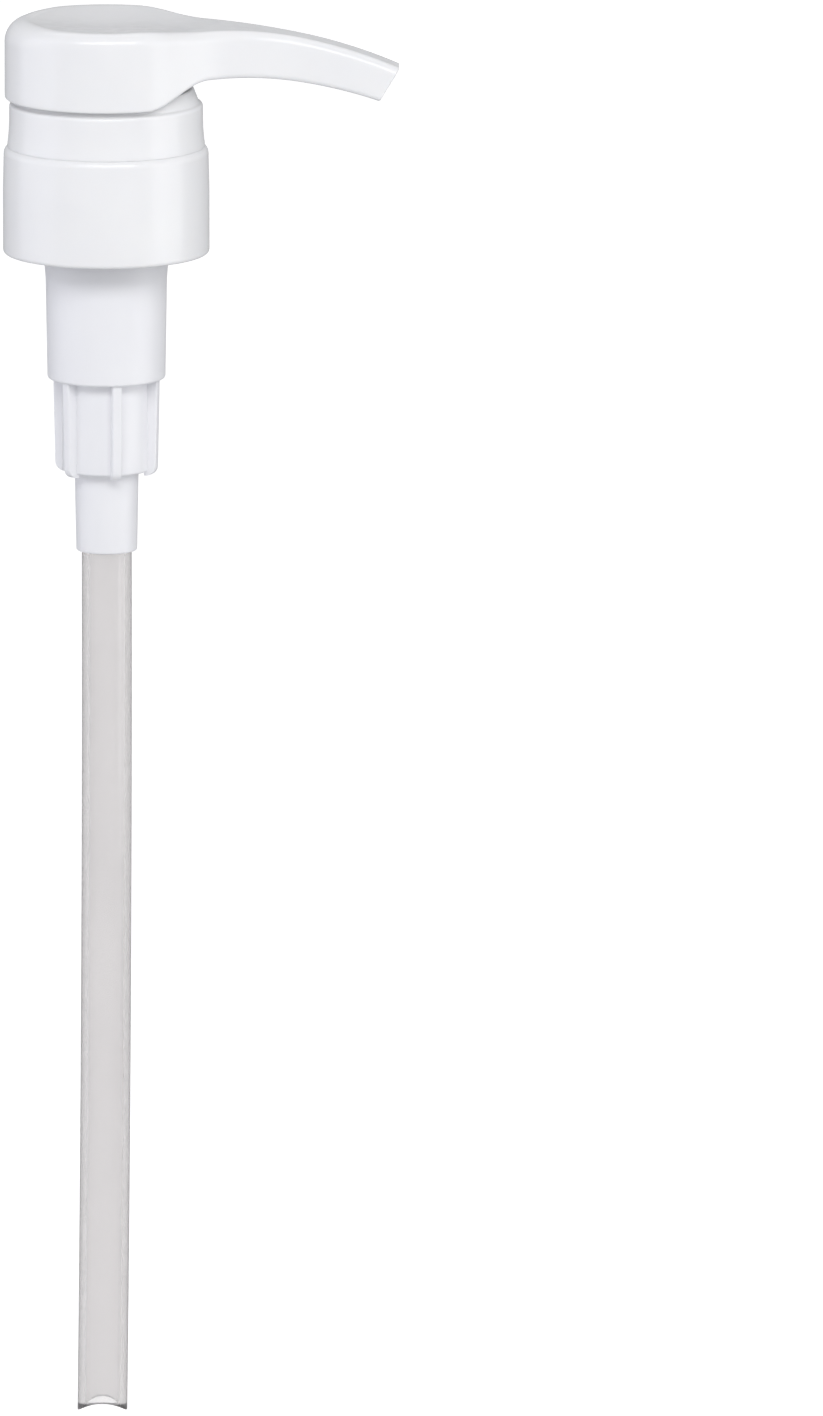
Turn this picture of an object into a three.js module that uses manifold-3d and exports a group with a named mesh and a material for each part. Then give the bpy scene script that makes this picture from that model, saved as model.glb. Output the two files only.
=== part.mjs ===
// Hand pump for a gallon condiment jar, stored in its locked-down state.
//
// Units are millimetres. +Z is up along the pump axis and +X points along the spout. The origin is on
// the pump axis, in the plane of the jar's rim, which is the underside of the jar gasket.

import * as THREE from 'three';
import { mergeVertices } from 'three/addons/utils/BufferGeometryUtils.js';
import Module from 'manifold-3d';

const wasm = await Module();
wasm.setup();

// Driving dimensions

const GAP = 0.3;                 // clearance between pieces that touch on the real pump
const STROKE = 21.4;             // travel of the head, which gives a quarter of a US fluid ounce
const PISTON_LAG = 1.5;          // free travel of the piston on the stem, which opens the outlet ports
const WIDE_FACETS = 36;          // facets round the large turned pieces
const SMALL_FACETS = 24;         // facets round the small turned pieces

const CAP_RADIUS = 21;           // 42 mm closure for a 38-400 jar neck
const CAP_BOTTOM = -15.3;
const CAP_TOP = 7.0;
const THREAD_PITCH = 4.23;       // six threads to the inch
const THREAD_ROOT = 19.05;       // radius inside the closure between the threads
const THREAD_CREST = 18.0;

const COLLAR_RADIUS = 20.1;
const COLLAR_BOTTOM = 7.3;
const COLLAR_TOP = 18.7;
const SLEEVE_BOTTOM = 4.2;       // lower end of the collar's inner sleeve

const HEAD_RADIUS = 20.6;
const HEAD_BOTTOM = 16.9;
const HEAD_TOP = 32.9;
const HEAD_CEILING = 29.2;       // inside face of the head's top wall
const DISH_DEPTH = 1.5;          // thumb dish in the head's top

const SPOUT_TIP = 59.7;          // reach of the spout's upper lip from the axis
const SPOUT_HALF_WIDTH = 4.7;
const SPOUT_TIP_HALF_WIDTH = 4.4;
const SPOUT_FILLET = 40;         // radius of the sweep from the disc into the spout, seen from above
const SHOULDER_DROP = 1.35;      // fall of the top from the thumb rest to the root of the spout
const SPOUT_TOP_START = 19;      // where the spout's upper line starts to droop
const SPOUT_TOP_RADIUS = 102;    // arc of the spout's upper line
const SPOUT_UNDER_START = 24;    // where the spout's lower line starts to droop
const SPOUT_UNDER_RADIUS = 97;   // arc of the spout's lower line
const SPOUT_UNDER = 21.6;        // height of the spout's lower line beside the disc
const TIP_LEAN = 31;             // degrees that the spout's end leans back below its upper lip
const SPOUT_BORE = 2.4;          // radius of the outlet duct

const STEM_RADIUS = 5.5;
const STEM_BORE = 3.6;
const STEM_TOP = 25.8;
const STEM_BOTTOM = -23.5;

const BARREL_TOP_RADIUS = 12.35;
const BARREL_LOW_RADIUS = 12.0;
const BARREL_BORE = 10.5;
const BARREL_BOTTOM = -41.2;
const CORE_RADIUS = 9.1;         // wall behind the fins
const CORE_BOTTOM = -60.0;
const FIN_COUNT = 6;
const FIN_THICKNESS = 1.95;
const FIN_TOP_RADIUS = 11.2;
const FIN_LOW_RADIUS = 10.8;
const FIN_BOTTOM = -60.9;
const FIN_CORNER = 2.0;          // round lower corner of each fin
const FIN_PHASE = 12;            // degrees from -Y to the nearest fin, towards +X
const SOCKET_RADIUS = 6.5;
const SOCKET_BOTTOM = -76.8;

const TUBE_RADIUS = 5.1;
const TUBE_BORE = 3.6;
const TUBE_TOP = -62.8;
const TUBE_END = -255.8;
const TUBE_BOW = 1.2;            // sideways set of the tube's end, left from coiling in the box
const NOTCH_DEPTH = 2.2;         // rise of the arched cut across the tube's end

const BALL_RADIUS = 4.0;

// Shape helpers

// A turned piece. The profile is a list of [radius, height] points in order round a closed outline.
function turned(profile, facets) {
  const points = profile.map(([radius, height]) => new THREE.Vector2(radius, height));
  points.push(points[0].clone());
  return new THREE.LatheGeometry(points, facets).rotateX(Math.PI / 2);
}

// Points of a round corner between two headings, in degrees, about a centre in the profile plane.
function roundCorner(centreRadius, centreHeight, radius, fromDegrees, toDegrees, steps) {
  const points = [];
  for (let step = 0; step <= steps; step += 1) {
    const angle = THREE.MathUtils.degToRad(fromDegrees + ((toDegrees - fromDegrees) * step) / steps);
    points.push([centreRadius + radius * Math.cos(angle), centreHeight + radius * Math.sin(angle)]);
  }
  return points;
}

// A plain cylinder along Z between two heights.
function rod(radius, bottom, top, facets) {
  return new THREE.CylinderGeometry(radius, radius, top - bottom, facets)
    .rotateX(Math.PI / 2)
    .translate(0, 0, (top + bottom) / 2);
}

// A box between two corners.
function block(low, high) {
  const size = high.map((value, axis) => value - low[axis]);
  const centre = high.map((value, axis) => (value + low[axis]) / 2);
  return new THREE.BoxGeometry(...size).translate(...centre);
}

// A bar of round section swept along a curve.
function sweptBar(curve, radius, sides, steps) {
  const section = new THREE.Shape();
  section.absarc(0, 0, radius, 0, 2 * Math.PI);
  const options = { steps, curveSegments: sides / 2, extrudePath: curve, bevelEnabled: false };
  return new THREE.ExtrudeGeometry(section, options);
}

// Closed mesh of a geometry as a solid that can be joined and cut.
function toSolid(geometry) {
  const bare = geometry.index ? geometry.toNonIndexed() : geometry.clone();
  bare.deleteAttribute('normal');
  bare.deleteAttribute('uv');
  const merged = mergeVertices(bare, 1e-4);
  return new wasm.Manifold(
    new wasm.Mesh({
      numProp: 3,
      vertProperties: new Float32Array(merged.attributes.position.array),
      triVerts: new Uint32Array(merged.index.array),
    }),
  );
}

// Geometry of a finished solid.
function toGeometry(solid) {
  const mesh = solid.getMesh();
  const geometry = new THREE.BufferGeometry();
  geometry.setAttribute('position', new THREE.BufferAttribute(mesh.vertProperties, 3));
  geometry.setIndex(new THREE.BufferAttribute(mesh.triVerts, 1));
  geometry.computeVertexNormals();
  return geometry;
}

// One geometry with others joined on and others cut away.
function combine(base, joined, cut) {
  let solid = toSolid(base);
  for (const geometry of joined) solid = solid.add(toSolid(geometry));
  for (const geometry of cut) solid = solid.subtract(toSolid(geometry));
  return toGeometry(solid);
}

// A helical ridge or spring wire: its centre line climbs about the Z axis.
class Helix extends THREE.Curve {
  constructor(radius, bottom, top, turns) {
    super();
    Object.assign(this, { radius, bottom, top, turns });
  }

  getPoint(t, target = new THREE.Vector3()) {
    const angle = 2 * Math.PI * this.turns * t;
    return target.set(
      this.radius * Math.cos(angle),
      this.radius * Math.sin(angle),
      this.bottom + (this.top - this.bottom) * t,
    );
  }
}

// Materials

function plastic(colour, roughness) {
  return new THREE.MeshStandardMaterial({ color: colour, roughness, metalness: 0 });
}

const GLOSS_WHITE = plastic('#eeedef', 0.25);
const SATIN_WHITE = plastic('#e6e6ea', 0.35);
const NATURAL_TUBE = plastic('#cfcdcd', 0.3);
const NATURAL_INNER = plastic('#e4e3df', 0.4);
const FOAM_GREY = plastic('#d9d9d4', 0.8);
const STAINLESS = new THREE.MeshStandardMaterial({ color: '#b9bbbe', roughness: 0.3, metalness: 1 });

// Closure cap: a smooth screw cap that turns freely on the pump and clamps it to the jar.

const CAP_WALL_UNDER = 3.6;      // underside of the cap's top wall, which bears on the housing flange
const CAP_HOLE = 14.4;
const CAP_TOP_RADIUS = 20.8;
const CAP_TAPER_START = -2;      // height above which the wall narrows to the top radius
const CAP_SHOULDER = 1.8;        // radius of the rounded upper edge
const CAP_LOWER_EDGE = 1.3;      // radius of the rounded lower edge
const CAP_FLANGE_POCKET = 17.4;  // radius of the pocket that takes the housing flange

function closureCap() {
  const lowerRadius = CAP_RADIUS - CAP_LOWER_EDGE;
  const shoulderRadius = CAP_TOP_RADIUS - CAP_SHOULDER;
  const body = turned(
    [
      [THREAD_ROOT + 0.4, CAP_BOTTOM],
      ...roundCorner(lowerRadius, CAP_BOTTOM + CAP_LOWER_EDGE, CAP_LOWER_EDGE, -90, 0, 3),
      [CAP_RADIUS, CAP_TAPER_START],
      ...roundCorner(shoulderRadius, CAP_TOP - CAP_SHOULDER, CAP_SHOULDER, 0, 90, 4),
      [CAP_HOLE, CAP_TOP],
      [CAP_HOLE, CAP_WALL_UNDER],
      [CAP_FLANGE_POCKET, CAP_WALL_UNDER],
      [THREAD_ROOT, 1.8],
      [THREAD_ROOT, CAP_BOTTOM + 1],
    ],
    WIDE_FACETS,
  );
  const turns = 1.5;
  const lowestTurn = -11.5;
  const ridge = new Helix(THREAD_ROOT + 0.1, lowestTurn, lowestTurn + turns * THREAD_PITCH, turns);
  const section = THREAD_ROOT + 0.1 - THREAD_CREST;
  return combine(body, [sweptBar(ridge, section, 6, 40)], []);
}

// Jar gasket: a flat foam ring between the housing flange and the jar's rim.

const FLANGE_RADIUS = 17.3;
const GASKET_BORE = 12.9;
const GASKET_THICKNESS = 1.2;

function jarGasket() {
  return turned(
    [
      [GASKET_BORE, 0],
      [FLANGE_RADIUS, 0],
      [FLANGE_RADIUS, GASKET_THICKNESS],
      [GASKET_BORE, GASKET_THICKNESS],
    ],
    WIDE_FACETS,
  );
}

// Pump housing: flange and neck above, barrel, finned inlet valve chamber and tube socket below.

const FLANGE_BOTTOM = 1.5;
const FLANGE_TOP = 3.3;
const JAR_NECK_FIT = 12.6;       // barrel where it passes through the jar's mouth
const NECK_RADIUS = 13.9;
const NECK_TOP = 13.2;
const VALVE_BORE = 7.0;
const RETAINER_LEDGE = -50.5;
const BALL_CHAMBER = 5.4;
const SEAT_TOP = -57.7;
const SEAT_BOTTOM = -60.2;
const INLET_RADIUS = 2.9;
const SOCKET_STOP = -62.5;

function barrelAndNeck() {
  return turned(
    [
      [BARREL_BORE, NECK_TOP],
      [BARREL_BORE, -38.4],
      [VALVE_BORE, -40.6],
      [VALVE_BORE, RETAINER_LEDGE],
      [BALL_CHAMBER, RETAINER_LEDGE],
      [BALL_CHAMBER, SEAT_TOP],
      [INLET_RADIUS, SEAT_BOTTOM],
      [INLET_RADIUS, SOCKET_STOP],
      [TUBE_RADIUS + GAP, SOCKET_STOP],
      [TUBE_RADIUS + GAP, SOCKET_BOTTOM],
      [SOCKET_RADIUS - 0.3, SOCKET_BOTTOM],
      [SOCKET_RADIUS, CORE_BOTTOM - 1.2],
      [CORE_RADIUS - 1, CORE_BOTTOM],
      [CORE_RADIUS, CORE_BOTTOM + 0.8],
      [CORE_RADIUS, BARREL_BOTTOM + 0.4],
      [BARREL_LOW_RADIUS - 0.5, BARREL_BOTTOM],
      [BARREL_LOW_RADIUS, BARREL_BOTTOM + 0.5],
      [BARREL_TOP_RADIUS, -20.5],
      [JAR_NECK_FIT, -18],
      [JAR_NECK_FIT, FLANGE_BOTTOM],
      [FLANGE_RADIUS, FLANGE_BOTTOM],
      [FLANGE_RADIUS, FLANGE_TOP],
      [NECK_RADIUS, FLANGE_TOP],
      [NECK_RADIUS, NECK_TOP - 2.4],
      [NECK_RADIUS + 0.6, NECK_TOP - 1.8],
      [NECK_RADIUS + 0.6, NECK_TOP - 0.8],
      [NECK_RADIUS - 0.2, NECK_TOP],
    ],
    WIDE_FACETS,
  );
}

// One fin: an upright plate with a rounded lower corner, standing out from the valve chamber's wall.
function fin(index) {
  const root = CORE_RADIUS - 1;
  const top = BARREL_BOTTOM + 0.6;
  const outline = new THREE.Shape();
  outline.moveTo(root, top);
  outline.lineTo(root, FIN_BOTTOM);
  outline.lineTo(FIN_LOW_RADIUS - FIN_CORNER, FIN_BOTTOM);
  outline.quadraticCurveTo(FIN_LOW_RADIUS, FIN_BOTTOM, FIN_LOW_RADIUS, FIN_BOTTOM + FIN_CORNER);
  outline.lineTo(FIN_TOP_RADIUS, top);
  const plate = new THREE.ExtrudeGeometry(outline, {
    depth: FIN_THICKNESS,
    curveSegments: 4,
    bevelEnabled: false,
  });
  const heading = -90 + FIN_PHASE + (360 / FIN_COUNT) * index;
  return plate
    .translate(0, 0, -FIN_THICKNESS / 2)
    .rotateX(Math.PI / 2)
    .rotateZ(THREE.MathUtils.degToRad(heading));
}

const VENT_RADIUS = 0.6;
const VENT_HEIGHT = -4;

// The vent lets air into the jar. The piston's two lips cover it when the pump is up.
function ventHole() {
  return rod(VENT_RADIUS, 0, 6, 8)
    .rotateX(-Math.PI / 2)
    .translate(0, BARREL_BORE - 2, VENT_HEIGHT);
}

function pumpHousing() {
  const fins = Array.from({ length: FIN_COUNT }, (_, index) => fin(index));
  return combine(barrelAndNeck(), fins, [ventHole()]);
}

// Lock collar: the ring above the closure. It snaps over the housing's neck, guides the stem and
// holds the female lock thread.

const SLEEVE_OUTER = 10.1;
const SLEEVE_BORE = 8.9;
const LOCK_PITCH = 3.2;
const LOCK_TURNS = 1.25;
const LOCK_LOW = 11.5;           // height where the lock threads start
const SEAL_TOP = 6.7;
const SEAL_BOTTOM = 5.0;
const SEAL_RADIUS = 8.6;
const COLLAR_WAIST_RADIUS = 19.75;
const COLLAR_WAIST = 10.5;       // height where the collar stops narrowing
const COLLAR_EDGE = 0.7;         // radius of the rounded upper edge
const COLLAR_EDGE_HEIGHT = 14.8;
const COLLAR_TOP_RADIUS = 17.5;
const COLLAR_WALL_BORE = 17.9;   // inside of the collar's outer wall
const COLLAR_CEILING = 13.8;
const GRIP_OUTER = 16.3;         // outside of the inner wall that snaps over the neck

function lockCollar() {
  const neckGrip = NECK_RADIUS + 0.6 + GAP;
  const edgeRadius = COLLAR_WAIST_RADIUS - COLLAR_EDGE;
  const body = turned(
    [
      // outside, from the lower edge to the top
      [COLLAR_WALL_BORE + 0.3, COLLAR_BOTTOM],
      [COLLAR_RADIUS, COLLAR_BOTTOM],
      [COLLAR_WAIST_RADIUS, COLLAR_WAIST],
      ...roundCorner(edgeRadius, COLLAR_EDGE_HEIGHT, COLLAR_EDGE, 0, 75, 3),
      [COLLAR_TOP_RADIUS + 0.4, COLLAR_TOP - 0.4],
      [COLLAR_TOP_RADIUS, COLLAR_TOP],
      // stem bore, from the top down through the lock thread to the seal seat
      [SLEEVE_BORE, COLLAR_TOP],
      [SLEEVE_BORE, SEAL_TOP + 1.5],
      [STEM_RADIUS + 0.4, SEAL_TOP + 1.5],
      [STEM_RADIUS + 0.4, SEAL_TOP + GAP],
      [SEAL_RADIUS + 0.4, SEAL_TOP + GAP],
      [SEAL_RADIUS + 0.4, SEAL_BOTTOM - GAP],
      [SEAL_RADIUS - 0.1, SLEEVE_BOTTOM],
      // sleeve outside and the hollow that takes the housing's neck
      [SLEEVE_OUTER, SLEEVE_BOTTOM],
      [SLEEVE_OUTER, COLLAR_CEILING],
      [neckGrip, COLLAR_CEILING],
      [neckGrip, NECK_TOP - 2.8],
      [NECK_RADIUS + GAP, NECK_TOP - 3.2],
      [NECK_RADIUS + GAP, COLLAR_BOTTOM + 1],
      [NECK_RADIUS + GAP + 0.5, COLLAR_BOTTOM],
      [GRIP_OUTER, COLLAR_BOTTOM],
      [GRIP_OUTER, COLLAR_CEILING],
      [COLLAR_WALL_BORE, COLLAR_CEILING],
    ],
    WIDE_FACETS,
  );
  const crest = new Helix(SLEEVE_BORE + 0.1, LOCK_LOW, LOCK_LOW + LOCK_TURNS * LOCK_PITCH, LOCK_TURNS);
  return combine(body, [sweptBar(crest, 0.75, 6, 30)], []);
}

// Stem seal: wiper ring held in the collar's sleeve.

function stemSeal() {
  return turned(
    [
      [STEM_RADIUS + GAP, SEAL_BOTTOM],
      [7.2, SEAL_BOTTOM],
      [7.4, SEAL_BOTTOM + 0.4],
      [SEAL_RADIUS, SEAL_BOTTOM + 0.4],
      [SEAL_RADIUS, SEAL_TOP],
      [STEM_RADIUS + 1.1, SEAL_TOP],
      [STEM_RADIUS + GAP, SEAL_TOP - 0.6],
    ],
    WIDE_FACETS,
  );
}

// Actuator head: hollow disc and drooping spout in one moulding.

// Height of the outer top surface without the thumb dish.
function headTop(x) {
  const shoulder = SHOULDER_DROP * THREE.MathUtils.smoothstep(x, 6, 20);
  const run = Math.max(0, x - SPOUT_TOP_START);
  const droop = SPOUT_TOP_RADIUS - Math.sqrt(SPOUT_TOP_RADIUS ** 2 - run ** 2);
  return HEAD_TOP - shoulder - droop;
}

// Height of the lower edge: level under the disc, swept up beside the collar, then along the spout.
function headUnder(x) {
  const sweepUp = THREE.MathUtils.smoothstep(x, 8.5, 21);
  const run = Math.max(0, x - SPOUT_UNDER_START);
  const droop = SPOUT_UNDER_RADIUS - Math.sqrt(SPOUT_UNDER_RADIUS ** 2 - run ** 2);
  return HEAD_BOTTOM + (SPOUT_UNDER - HEAD_BOTTOM) * sweepUp - droop;
}

// Depth of the thumb dish, an oval bowl a little longer along the spout.
function dish(x, y) {
  const fromCentre = Math.hypot((x - 1) / 19, y / 16);
  return DISH_DEPTH * Math.max(0, 1 - fromCentre ** 2) ** 1.5;
}

// Half of the outline from above, from the back of the disc round to the middle of the spout's end.
// Each point carries its inward heading and its distance to the middle line.
function headOutline() {
  const filletRise = SPOUT_HALF_WIDTH + SPOUT_FILLET;
  const filletX = Math.sqrt((HEAD_RADIUS + SPOUT_FILLET) ** 2 - filletRise ** 2);
  const joinAngle = Math.atan2(filletRise, filletX);
  const points = [];
  const discSteps = 12;
  for (let step = 0; step <= discSteps; step += 1) {
    const angle = Math.PI + ((joinAngle - Math.PI) * step) / discSteps;
    points.push({
      x: HEAD_RADIUS * Math.cos(angle),
      y: HEAD_RADIUS * Math.sin(angle),
      inward: [-Math.cos(angle), -Math.sin(angle)],
      depth: HEAD_RADIUS,
    });
  }
  const filletSteps = 7;
  for (let step = 1; step <= filletSteps; step += 1) {
    const angle = joinAngle + ((Math.PI / 2 - joinAngle) * step) / filletSteps;
    const y = filletRise - SPOUT_FILLET * Math.sin(angle);
    points.push({
      x: filletX - SPOUT_FILLET * Math.cos(angle),
      y,
      inward: [-Math.cos(angle), -Math.sin(angle)],
      depth: y / Math.sin(angle),
    });
  }
  const spoutSteps = 4;
  const pastTip = SPOUT_TIP + 3;
  for (let step = 1; step <= spoutSteps; step += 1) {
    const along = step / spoutSteps;
    const y = THREE.MathUtils.lerp(SPOUT_HALF_WIDTH, SPOUT_TIP_HALF_WIDTH, along);
    const x = THREE.MathUtils.lerp(filletX, pastTip, along);
    points.push({ x, y, inward: [0, -1], depth: y });
  }
  points.push({ x: pastTip, y: 0, inward: [0, -1], depth: 0 });
  return points;
}

// Radius of the rounded upper edge, largest at the back of the disc and smallest on the spout.
function edgeRadius(x) {
  const atBack = 1 - THREE.MathUtils.smoothstep(x, -20, -8);
  const onSpout = THREE.MathUtils.smoothstep(x, 8, 32);
  return 3.2 + 1.4 * atBack - 1.4 * onSpout;
}

// The rings run from the middle of the underside, up the wall and in to the middle of the top.
// Each gives its distance in from the outline and its height at a point.
function headRings() {
  const lowerEdge = 0.8;
  const rings = [
    { inset: (p) => p.depth, height: (x) => headUnder(x) },
    { inset: (p) => Math.min(lowerEdge, p.depth), height: (x) => headUnder(x) },
    { inset: () => 0, height: (x) => headUnder(x) + lowerEdge },
  ];
  for (const degrees of [0, 30, 60, 90]) {
    const angle = THREE.MathUtils.degToRad(degrees);
    rings.push({
      inset: (p) => Math.min(edgeRadius(p.x) * (1 - Math.cos(angle)), p.depth),
      height: (x) => headTop(x) - edgeRadius(x) * (1 - Math.sin(angle)),
    });
  }
  for (const share of [0.25, 0.5, 0.75, 1]) {
    rings.push({
      inset: (p) => {
        const edge = Math.min(edgeRadius(p.x), p.depth);
        return edge + (p.depth - edge) * share;
      },
      height: (x, y) => headTop(x) - dish(x, y),
    });
  }
  return rings;
}

// Outer skin of the head as a closed body, before it is hollowed and its tip is cut.
function headBlank() {
  const half = headOutline();
  const mirrored = half.slice(1, -1).reverse().map((p) => ({
    ...p,
    y: -p.y,
    inward: [p.inward[0], -p.inward[1]],
  }));
  const outline = [...half, ...mirrored];
  const rings = headRings();
  const positions = [];
  for (const ring of rings) {
    for (const p of outline) {
      const inset = ring.inset(p);
      const x = p.x + p.inward[0] * inset;
      const y = p.y + p.inward[1] * inset;
      positions.push(x, y, ring.height(x, y));
    }
  }
  const count = outline.length;
  const faces = [];
  for (let ring = 0; ring < rings.length - 1; ring += 1) {
    for (let i = 0; i < count; i += 1) {
      const here = ring * count + i;
      const next = ring * count + ((i + 1) % count);
      faces.push(here, here + count, next);
      faces.push(next, here + count, next + count);
    }
  }
  const geometry = new THREE.BufferGeometry();
  geometry.setAttribute('position', new THREE.Float32BufferAttribute(positions, 3));
  geometry.setIndex(faces);
  return geometry;
}

const HEAD_BORE = 19.35;         // inside of the skirt at its lower edge
const DUCT_WALL_HALF = 4.1;
const DUCT_HEIGHT = 26.9;        // middle of the level stretch of the outlet duct

// Space that is cut from beyond the spout's slanted end.
function beyondTip() {
  return block([0, -10, -15], [12, 10, 15])
    .rotateY(THREE.MathUtils.degToRad(TIP_LEAN))
    .translate(SPOUT_TIP, 0, headTop(SPOUT_TIP));
}

// Hollow under the disc. The duct's wall and the stem boss are left standing in it.
function headHollow() {
  const hollow = turned(
    [
      [0, HEAD_BOTTOM - 6],
      [HEAD_BORE, HEAD_BOTTOM - 6],
      [HEAD_BORE - 0.25, HEAD_CEILING - 1.5],
      [HEAD_BORE - 1.75, HEAD_CEILING],
      [0, HEAD_CEILING],
    ],
    WIDE_FACETS,
  );
  const ductWall = block(
    [0, -DUCT_WALL_HALF, SPOUT_UNDER + 0.1],
    [HEAD_RADIUS, DUCT_WALL_HALF, HEAD_CEILING + 1],
  );
  return toGeometry(toSolid(hollow).subtract(toSolid(ductWall)));
}

const BOSS_RADIUS = 7.3;
const BOSS_BOTTOM = 9.2;

// Boss that grips the stem and carries the male lock thread.
function stemBoss() {
  const boss = rod(BOSS_RADIUS, BOSS_BOTTOM, HEAD_CEILING + 0.5, SMALL_FACETS);
  const crest = new Helix(BOSS_RADIUS - 0.1, LOCK_LOW - 1.6, LOCK_LOW - 1.6 + LOCK_TURNS * LOCK_PITCH,
    LOCK_TURNS);
  return toGeometry(toSolid(boss).add(toSolid(sweptBar(crest, 0.6, 6, 30))));
}

// Outlet duct: level from the stem, then along the middle of the spout and out at its tip.
function outletDuct() {
  const route = [new THREE.Vector3(-0.5, 0, DUCT_HEIGHT)];
  for (const x of [10, 20, 30, 40, 50, SPOUT_TIP - 1.5, SPOUT_TIP + 3]) {
    route.push(new THREE.Vector3(x, 0, x < 20 ? DUCT_HEIGHT : (headTop(x) + headUnder(x)) / 2));
  }
  return sweptBar(new THREE.CatmullRomCurve3(route), SPOUT_BORE, 12, 20);
}

function actuatorHead() {
  const socket = rod(STEM_RADIUS + GAP, BOSS_BOTTOM - 1, STEM_TOP + GAP, SMALL_FACETS);
  const passage = rod(STEM_BORE, STEM_TOP, 27.4, SMALL_FACETS);
  let head = toSolid(headBlank()).subtract(toSolid(headHollow()));
  head = head.subtract(toSolid(beyondTip()));
  head = head.add(toSolid(stemBoss()));
  for (const cut of [socket, passage, outletDuct()]) head = head.subtract(toSolid(cut));
  return toGeometry(head);
}

// Stem: hollow tube from the head down to the piston, with a stop flange above the piston.

const STOP_GAP = 0.7;            // left between the stem's flange and the collar when the head is up
const STEM_FLANGE_TOP = SLEEVE_BOTTOM - STOP_GAP - STROKE;
const STEM_FLANGE_BOTTOM = STEM_FLANGE_TOP - 1.1;

function stem() {
  return turned(
    [
      [STEM_BORE, STEM_BOTTOM],
      [STEM_RADIUS - 0.5, STEM_BOTTOM],
      [STEM_RADIUS, STEM_BOTTOM + 0.6],
      [STEM_RADIUS, STEM_FLANGE_BOTTOM],
      [7.2, STEM_FLANGE_BOTTOM],
      [7.2, STEM_FLANGE_TOP],
      [STEM_RADIUS, STEM_FLANGE_TOP],
      [STEM_RADIUS, STEM_TOP],
      [STEM_BORE, STEM_TOP],
    ],
    SMALL_FACETS,
  );
}

// Piston: two wiping lips against the barrel and a hub that slides on the stem.

const PISTON_TOP = STEM_FLANGE_BOTTOM - GAP - PISTON_LAG;
const PISTON_BOTTOM = -30.0;

function piston() {
  const lip = BARREL_BORE - GAP;
  const hubBore = STEM_RADIUS + GAP;
  return turned(
    [
      [hubBore, PISTON_TOP],
      [hubBore, -27.2],
      [6.4, PISTON_BOTTOM + 1.0],
      [7.4, PISTON_BOTTOM + 0.6],
      [8.9, PISTON_BOTTOM],
      [lip, PISTON_BOTTOM],
      [lip, PISTON_BOTTOM + 1.2],
      [9.5, PISTON_BOTTOM + 2.0],
      [9.5, PISTON_TOP - 2.0],
      [lip, PISTON_TOP - 1.2],
      [lip, PISTON_TOP],
      [9.3, PISTON_TOP],
      [8.6, -24.0],
      [7.1, -24.0],
      [7.1, PISTON_TOP],
    ],
    WIDE_FACETS,
  );
}

// Valve rod: plugged into the stem's lower end. Its cone closes the piston's mouth, and the spring
// pushes up against its underside.

const CONE_TOP = -27.4;
const CONE_BOTTOM = -31.4;
const ROD_BOTTOM = -36.5;

function valveRod() {
  const shank = turned(
    [
      [0, ROD_BOTTOM],
      [3.9, ROD_BOTTOM],
      [4.5, ROD_BOTTOM + 0.8],
      [4.5, CONE_BOTTOM - 1.4],
      [7.6, CONE_BOTTOM - 1.4],
      [7.6, CONE_BOTTOM],
      [2.4, CONE_TOP],
      [2.4, -20],
      [2.0, -13],
      [0, -13],
    ],
    SMALL_FACETS,
  );
  const ribHalf = 0.6;
  const ribReach = STEM_BORE - 0.35;
  const rib = block([-ribReach, -ribHalf, -23.2], [ribReach, ribHalf, -13.5]);
  return combine(shank, [rib, rib.clone().rotateZ(Math.PI / 2)], []);
}

// Return spring: stainless wire, nearly closed up while the head is locked down.

const SPRING_TOP = CONE_BOTTOM - 1.4 - GAP;
const RETAINER_TOP = -48.4;
const WIRE_RADIUS = 0.6;

function returnSpring() {
  const low = RETAINER_TOP + GAP + WIRE_RADIUS;
  const high = SPRING_TOP - WIRE_RADIUS;
  return sweptBar(new Helix(5.7, low, high, 7), WIRE_RADIUS, 6, 7 * 14);
}

// Ball retainer: seat for the spring with three openings, which stops the ball's lift.

function ballRetainer() {
  const disc = rod(VALVE_BORE - GAP, RETAINER_LEDGE + GAP, RETAINER_TOP, SMALL_FACETS);
  const openings = [];
  for (let index = 0; index < 3; index += 1) {
    openings.push(rod(1.35, RETAINER_LEDGE - 1, RETAINER_TOP + 1, 12)
      .translate(3.0, 0, 0)
      .rotateZ((2 * Math.PI * index) / 3));
  }
  return combine(disc, [], openings);
}

// Inlet ball: rests on the conical seat at the bottom of the valve chamber.

function inletBall() {
  const seatSlope = Math.atan2(SEAT_TOP - SEAT_BOTTOM, BALL_CHAMBER - INLET_RADIUS);
  const apex = SEAT_BOTTOM - INLET_RADIUS * Math.tan(seatSlope);
  const centre = apex + (BALL_RADIUS + GAP) / Math.cos(seatSlope);
  return new THREE.SphereGeometry(BALL_RADIUS, 16, 12).rotateX(Math.PI / 2).translate(0, 0, centre);
}

// Dip tube: straight in its socket, then bowed slightly towards -X, with an arched cut at the end so
// that it can't seal itself against the jar's floor.

class TubeLine extends THREE.Curve {
  constructor(top, bottom) {
    super();
    Object.assign(this, { top, bottom });
  }

  getPoint(t, target = new THREE.Vector3()) {
    const z = THREE.MathUtils.lerp(this.top, this.bottom, t);
    const along = Math.max(0, (SOCKET_BOTTOM - z) / (SOCKET_BOTTOM - TUBE_END));
    return target.set(-TUBE_BOW * along ** 2, 0, z);
  }
}

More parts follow.
